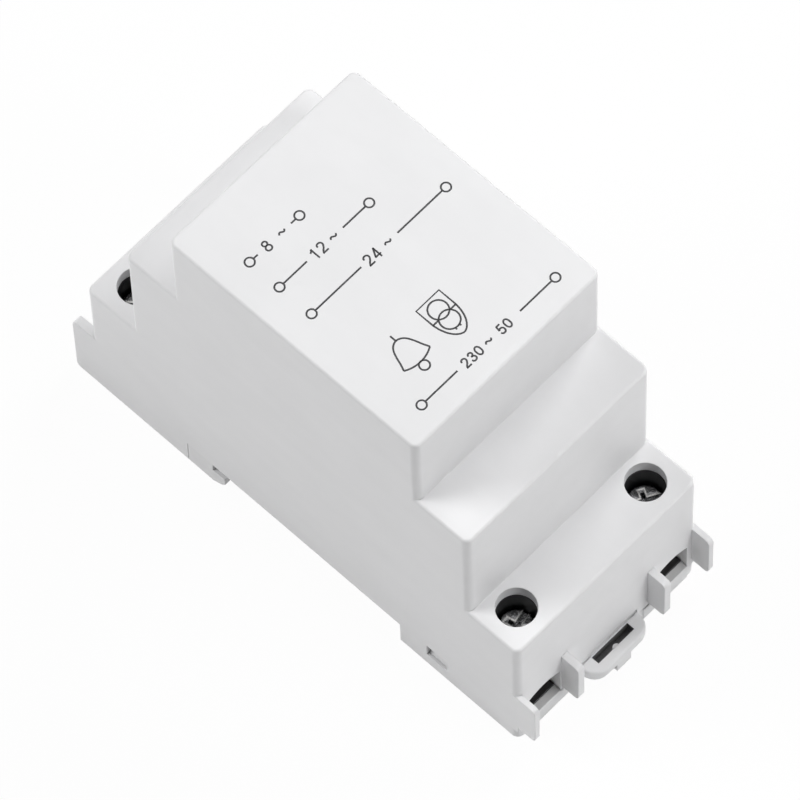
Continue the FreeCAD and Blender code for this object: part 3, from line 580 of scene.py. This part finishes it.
# A clamp screw: a turned head with a slot and a tapered cross, and a rolled thread below. Each sits
# at its own turn, as the last hand left it.
screw = {"segments": 48, "headRound": 0.35, "headSteps": 4, "headDepth": 2.2, "headRadius": 2.6,
         "coreRadius": 1.42, "ridgeRadius": 1.75, "ridgeFoot": 0.28, "ridgeTip": 0.04, "ridgeSink": 0.06,
         "pitch": 0.6, "stepsPerTurn": 20, "runOut": 0.5, "pointRadius": 1.2, "pointLength": 0.8,
         "pointRound": 0.3, "slot": (0.86, 1.0), "crossReach": 1.75, "crossWidth": 0.78, "crossDepth": 1.5,
         "crossTaper": 0.45, "flare": (0.2, 0.09), "slope": (0.5, 0.99),
         "turns": {"mains_left": 12, "mains_right": -28, "bell_common": 40, "bell_8v": 5, "bell_12v": -64,
                   "bell_24v": 22}}


def turnedScrew(high):  # the screw's body in millimetres, its top at the origin and its point down
    corner, radius, point = screw["headRound"], screw["headRadius"], screw["pointRound"]
    profile = [(0, 0), (radius - corner, 0)]
    for step in range(screw["headSteps"]):
        angle = math.pi / 2 * (step + 1) / screw["headSteps"]
        profile.append((radius - corner + corner * math.sin(angle), corner * math.cos(angle) - corner))
    profile += [(radius, -screw["headDepth"]), (screw["coreRadius"], -screw["headDepth"]),
                (screw["coreRadius"], screw["pointLength"] - high), (screw["pointRadius"], point - high),
                (screw["pointRadius"] - point, -high), (0, -high)]
    body = bmesh.new()
    corners = [body.verts.new((x, 0, z)) for x, z in profile]
    edges = [body.edges.new(pair) for pair in zip(corners, corners[1:])]
    bmesh.ops.spin(body, geom=corners + edges, cent=(0, 0, 0), axis=(0, 0, 1), angle=2 * math.pi,
                   steps=screw["segments"], use_merge=True)
    return body


def recessCutter(long, wide, deep, taper=0.0, turn=0):  # open to the top, narrower at its floor
    shape = boxShape((-long, -wide / 2, -deep), (long, wide / 2, deep))
    floor = [corner for corner in shape.verts if corner.co.z < 0]
    bmesh.ops.scale(shape, verts=floor, vec=(1 - taper, 1 - taper, 1))
    bmesh.ops.transform(shape, verts=shape.verts, matrix=turnAbout(turn))
    return solidObject("recess", shape)


def flareCutter(long, wide, turn=0):  # a shallow slope along the edges of a recess
    spread, deep = screw["flare"]
    shape = boxShape((-long, -wide / 2, -deep), (long, wide / 2, deep))
    for corner in shape.verts:
        if corner.co.z > 0:
            corner.co.x += math.copysign(2 * spread, corner.co.x)
            corner.co.y += math.copysign(2 * spread, corner.co.y)
    bmesh.ops.transform(shape, verts=shape.verts, matrix=turnAbout(turn))
    return solidObject("flare", shape)


def headCutters():
    slotLong = screw["headRadius"] + past
    slotWide, slotDeep = screw["slot"]
    reach, wide = screw["crossReach"], screw["crossWidth"]
    cutters = [recessCutter(slotLong, slotWide, slotDeep), flareCutter(slotLong, slotWide)]
    cutters += [recessCutter(reach, wide, screw["crossDepth"], screw["crossTaper"], turn) for turn in (0, 90)]
    return cutters + [flareCutter(reach, wide, 90)]


def rubEdgesAndPaintGlints(head):  # the recess's sloped edges take a brighter metal: rubbed by the driver, and painted highlight for their glints
    inside = screw["headRadius"] - screw["headRound"]
    steep, level = screw["slope"]
    for face in head.faces:
        middle = face.calc_center_median()
        if middle.xy.length < inside and middle.z > -screw["flare"][1] and steep < face.normal.z < level:
            face.material_index = 1


def threadRidge(high):
    foot, tip = screw["ridgeFoot"], screw["ridgeTip"]
    root = screw["coreRadius"] - screw["ridgeSink"]
    ridge = bmesh.new()
    outline = [(root, -foot), (screw["ridgeRadius"], -tip), (screw["ridgeRadius"], tip), (root, foot)]
    face = ridge.faces.new([ridge.verts.new((x, 0, z)) for x, z in outline])
    low, top = screw["pointLength"] + screw["runOut"] - high, -screw["headDepth"] - screw["runOut"]
    turns = (top - low) / screw["pitch"]
    steps = round(turns * screw["stepsPerTurn"])
    bmesh.ops.spin(ridge, geom=[face], cent=(0, 0, 0), axis=(0, 0, 1), angle=2 * math.pi * turns,
                   dvec=(0, 0, (top - low) / steps), steps=steps, use_merge=False)
    bmesh.ops.translate(ridge, verts=ridge.verts, vec=(0, 0, low))
    bmesh.ops.recalc_face_normals(ridge, faces=ridge.faces)
    return ridge


def makeScrews():
    for terminal, turn in screw["turns"].items():
        low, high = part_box(f"{terminal}_screw")
        length = (high.z - low.z) / mm
        whole = bmesh.new()
        addMesh(whole, carve(solidObject("body", turnedScrew(length)), headCutters()))
        rubEdgesAndPaintGlints(whole)
        addShape(whole, threadRidge(length))
        place = Vector(((low.x + high.x) / 2, (low.y + high.y) / 2, high.z)) / mm
        bmesh.ops.transform(whole, verts=whole.verts, matrix=Matrix.Translation(place) @ turnAbout(turn))
        piece = placeShape(f"{terminal}_clamp_screw", whole, "screw", f"{terminal}_screw", "screw",
                           f"{terminal}_screw")
        # its second finish: the rubbed edges, brightened as painted highlight
        piece.data.materials.append(finishes["wornEdgeAndPaintedGlint"])
    print("screws made:", len(screw["turns"]))


makeScrews()


# The two terminal blocks, in black: a round well over each screw, thin walls round each cage and
# a tongue on the sill of each way in. The grey case closes over them.
terminalBlock = {"gap": 0.10, "wall": 0.12, "lap": 0.5, "top": 20.65, "bottom": -0.3, "segments": 64,
                 "wellFloor": 13.0, "wellSink": 0.5, "wellHigh": 20.0, "wellRadius": 2.88,
                 "entryTop": 5.2, "barRoom": 7.0,
                 "tongueTop": -0.95, "tongueBottom": -1.48, "tongueInner": 38.65, "tongueOuter": 39.75,
                 "tongueHalf": {-1: 3.15, 1: 2.85}}


def blockWay(side, terminal):  # one terminal's share of its block
    look = terminalBlock
    low, high = [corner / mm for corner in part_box(f"{terminal}_cage")]
    barLow, barHigh = [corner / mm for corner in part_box(f"{terminal}_bar")]
    gap, out = look["gap"], look["gap"] + look["wall"]
    middle = (low + high) / 2
    inner, outer = (high.y, low.y) if side < 0 else (low.y, high.y)
    block = solidObject("block", boxShape((low.x - out, low.y - out, look["bottom"]),
                                          (high.x + out, high.y + out, look["top"])))
    wellStart = look["wellFloor"] - look["wellSink"]
    below = look["bottom"] - past
    cutters = [solidObject("well", cylinderShape(middle.x, middle.y, wellStart, wellStart + look["wellHigh"],
                                                 look["wellRadius"], look["segments"])),
               boxCutter((low.x - gap, low.y - gap, below), (high.x + gap, high.y + gap, look["wellFloor"])),
               boxCutter((low.x - past, outer - side * look["lap"], below),
                         (high.x + past, outer + side * past, look["entryTop"])),
               boxCutter((barLow.x - gap, inner - side * past, below),
                         (barHigh.x + gap, inner + side * look["lap"], look["barRoom"]))]
    half = look["tongueHalf"][side]
    tongue = boxShape((middle.x - half, side * look["tongueInner"], look["tongueBottom"]),
                      (middle.x + half, side * look["tongueOuter"], look["tongueTop"]))
    return carve(block, cutters), tongue


def makeTerminalBlocks():
    for end, side in (("mains", -1), ("bell", 1)):
        whole = bmesh.new()
        for terminal in screw["turns"]:
            if terminal.startswith(end):
                block, tongue = blockWay(side, terminal)
                addMesh(whole, block)
                addShape(whole, tongue)
        placeShape(f"{end}_terminal_block", whole, "bobbin", "case", "bobbin")
    print("terminal blocks made")


makeTerminalBlocks()


# The case, with slim fins at the mains end: each has its two sides on X
fins = {"wall": 40.75, "end": 43.95, "bottom": -0.9, "top": 8.55, "round": 0.9, "roundSteps": 6,
        "places": [(8.1, 9.3), (17.1, 18.0)]}


def finShape(low, high):
    shape = boxShape((low, -fins["end"], fins["bottom"]), (high, -fins["wall"], fins["top"]))
    roundEdges(shape, edgesBefore(shape, fins["wall"], 0), fins["round"], fins["roundSteps"])
    return shape


def makeCase():
    case = bmesh.new()
    addMesh(case, carve(solidObject("case", nodeCopy("housing")), [endCutter(-1, fins["wall"])]))
    for low, high in fins["places"]:
        addShape(case, finShape(low, high))
        addShape(case, finShape(-high, -low))
    placeShape("housing_shell", case, "housing", "case", "housing", "housing")
    print("case made")


makeCase()


# The base, with its lips nearly flush with the ends and a flat sill in each way in
sill = {"lip": 40.9, "top": -1.5, "ceiling": 3.0, "start": 38.69, "half": 4.0}


def makeBase():
    cutters = [endCutter(side, sill["lip"]) for side in (-1, 1)]
    for terminal in screw["turns"]:
        low, high = [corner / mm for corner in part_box(f"{terminal}_cage")]
        middle = (low.x + high.x) / 2
        side = -1 if low.y < 0 else 1
        cutters.append(boxCutter((middle - sill["half"], side * sill["start"], sill["top"]),
                                 (middle + sill["half"], side * far, sill["ceiling"])))
    base = bmesh.new()
    addMesh(base, carve(solidObject("base", nodeCopy("base")), cutters))
    placeShape("base_moulding", base, "base", "case", "base", "base")
    print("base made")


makeBase()


# The latch with its thick pull: rounded corners and rims, a slot with a nub, and a tab below.
# The slot's walls and floor are painted dark grey as shade.
pull = {"start": 40.9, "root": 0.12, "end": 43.95, "half": 5.85, "top": -0.1, "bottom": -2.25,
        "corner": 2.5, "cornerSteps": 6, "rim": 0.45, "rimSteps": 3,
        "slotHalf": 3.6, "slot": (41.15, 42.45), "slotFloor": -1.95,
        "nubRadius": 0.55, "nubTop": -0.35, "nubSegments": 32,
        "tabHalf": 1.4, "tabThick": 1.4, "tabBottom": -3.85}


def pullShape():
    half = pull["half"]
    shape = boxShape((-half, -pull["end"], pull["bottom"]), (half, -pull["start"], pull["top"]))
    roundEdges(shape, edgesBefore(shape, pull["start"], 2), pull["corner"], pull["cornerSteps"])
    rims = [edge for edge in shape.edges if abs(edge.verts[0].co.z - edge.verts[1].co.z) < near
            and min(corner.co.y for corner in edge.verts) < -pull["start"] - near]
    roundEdges(shape, rims, pull["rim"], pull["rimSteps"], True)
    return shape


def paintSlotShade(shape):  # its walls and floor take the second finish, a dark grey of painted shade
    inner, outer = pull["slot"]
    for face in shape.faces:
        x, y, z = face.calc_center_median()
        inSlot = abs(x) < pull["slotHalf"] + near and -outer - near < y < -inner + near
        if inSlot and pull["slotFloor"] - near < z < pull["top"] - near:
            face.material_index = 1


def makeLatch():
    inner, outer = pull["slot"]
    slider = solidObject("slider", nodeCopy("rail_latch"))
    slot = boxCutter((-pull["slotHalf"], -outer, pull["slotFloor"]), (pull["slotHalf"], -inner, past))
    latch = bmesh.new()
    addMesh(latch, carve(slider, [endCutter(-1, pull["start"] + pull["root"])]))
    addMesh(latch, carve(solidObject("pull", pullShape()), [slot]))
    paintSlotShade(latch)
    addShape(latch, cylinderShape(0, -outer, pull["bottom"], pull["nubTop"], pull["nubRadius"],
                                  pull["nubSegments"]))
    addShape(latch, boxShape((-pull["tabHalf"], -pull["end"], pull["tabBottom"]),
                             (pull["tabHalf"], pull["tabThick"] - pull["end"], pull["bottom"] + pull["rim"])))
    piece = placeShape("latch_slider", latch, "latch", "latch", "latch", "rail_latch")
    # the second finish paints the shade in the slot
    piece.data.materials.append(finishes["latchSlotPaintedShade"])
    print("latch made")


makeLatch()


# The latch spring: round wire wound along Y
spring = {"radius": 0.9, "wire": 0.4, "sides": 8, "turns": 7, "deadTurns": 1.5, "deadPitch": 1.02,
          "steps": 20, "travel": 3.0}


def makeSpring():
    low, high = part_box("latch_spring")
    length = high.y - low.y
    wire = spring["wire"] * mm / 2
    middleZ = (low.z + high.z) / 2
    coil = bmesh.new()
    bmesh.ops.create_circle(coil, cap_ends=False, radius=wire, segments=spring["sides"],
                            matrix=Matrix.Translation((spring["radius"] * mm, 0, 0)))
    dead, deadPitch = spring["deadTurns"], 2 * wire * spring["deadPitch"]
    live = spring["turns"] - dead
    livePitch = (length - 2 * wire - 2 * dead * deadPitch) / live
    ring = coil.edges[:]
    for turns, pitch in ((dead, deadPitch), (live, livePitch), (dead, deadPitch)):
        count = round(turns * spring["steps"])
        made = bmesh.ops.spin(coil, geom=ring, cent=(0, 0, 0), axis=(0, 1, 0),
                              dvec=(0, pitch * turns / count, 0), angle=2 * math.pi * turns, steps=count,
                              use_merge=False)
        ring = [edge for edge in made["geom_last"] if isinstance(edge, bmesh.types.BMEdge)]
    bmesh.ops.holes_fill(coil, edges=[edge for edge in coil.edges if edge.is_boundary])
    bmesh.ops.recalc_face_normals(coil, faces=coil.faces)
    lowest = min(corner.co.y for corner in coil.verts)
    highest = max(corner.co.y for corner in coil.verts)
    fit = length / (highest - lowest)
    bmesh.ops.transform(coil, verts=coil.verts, matrix=Matrix.Translation((0, low.y, middleZ))
                        @ Matrix.Diagonal((1, fit, 1, 1)) @ Matrix.Translation((0, -lowest, 0)))
    for face in coil.faces:
        face.smooth = True
    piece = newPiece("latch_spring_wire", meshOf("latch_spring_wire", coil), "spring", "case")
    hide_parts("latch_spring")
    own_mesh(piece)
    print("spring wound")


makeSpring()


# Light and view
studio = {"camera": (-360.550, -369.868, 1053.440), "aim": (-3.323, -5.259, 30.0), "roll": -2.3647,
          "lens": 378.635, "sensor": 36.0, "clipStart": 50, "lampAim": (0, 0, 30),
          "lamps": [{"place": (-560, 560, 640), "size": 450, "power": 6.0},
                    {"place": (240, -760, 640), "size": 450, "power": 4.5},
                    {"place": (700, 0, 700), "size": 450, "power": 5.7}],
          "sky": 0.03, "floorSize": 6000, "floorGap": 0.02, "floorColour": 0.88, "floorGlow": 0.96}


def facing(place, aim):  # stands at one point and looks at the other
    place, aim = Vector(place) * mm, Vector(aim) * mm
    return Matrix.Translation(place) @ (aim - place).to_track_quat("-Z", "Y").to_matrix().to_4x4()


def makeCamera():
    data = bpy.data.cameras.new("camera")
    data.lens = studio["lens"]
    data.sensor_width = studio["sensor"]
    data.clip_start = studio["clipStart"] * mm
    camera = newObject("camera", data)
    camera.matrix_world = facing(studio["camera"], studio["aim"]) @ turnAbout(studio["roll"])
    bpy.context.scene.camera = camera


def makeLamps():
    for look in studio["lamps"]:
        data = bpy.data.lights.new("softbox", "AREA")
        data.size = look["size"] * mm
        data.energy = look["power"]
        newObject("softbox", data).matrix_world = facing(look["place"], studio["lampAim"])


def seenDirectly(shader):  # 1 where the camera sees it, also in a mirror or through glass
    ray = {word: shader.node("ShaderNodeLightPath", output=word)
           for word in ("Is Camera Ray", "Is Glossy Ray", "Is Transmission Ray")}
    total = ray["Is Camera Ray"] + ray["Is Glossy Ray"] + ray["Is Transmission Ray"]
    return total.math("MINIMUM", total, 1.0)


def makeSky():
    world = bpy.data.worlds.new("studio")
    bpy.context.scene.world = world
    shader = Shader(world)
    strength = studio["sky"] + seenDirectly(shader) * (1 - studio["sky"])
    white = shader.node("ShaderNodeBackground", None, {"Color": rgb(1, 1, 1), "Strength": strength})
    shader.node("ShaderNodeOutputWorld", None, {"Surface": white})


def makeFloor():
    sheet = bmesh.new()
    bmesh.ops.create_grid(sheet, x_segments=1, y_segments=1, size=studio["floorSize"] * mm / 2,
                          matrix=Matrix.Translation((0, 0, cadBox[0].z - studio["floorGap"] * mm)))
    material, shader = newMaterial("paleFloor")
    grey = studio["floorColour"]
    paper = shader.node("ShaderNodeBsdfDiffuse", None, {"Color": rgb(grey, grey, grey)})
    glow = shader.node("ShaderNodeEmission", None, {"Color": rgb(1, 1, 1), "Strength": 1.0})
    share = seenDirectly(shader) * studio["floorGlow"]
    both = shader.node("ShaderNodeMixShader", None, {0: share, 1: paper, 2: glow})
    shader.node("ShaderNodeOutputMaterial", None, {"Surface": both})
    floor = newObject("floor", meshOf("floor", sheet))
    floor.data.materials.append(material)


makeCamera()
makeLamps()
makeSky()
makeFloor()
bpy.context.scene.view_settings.view_transform = "Standard"
print("studio set")
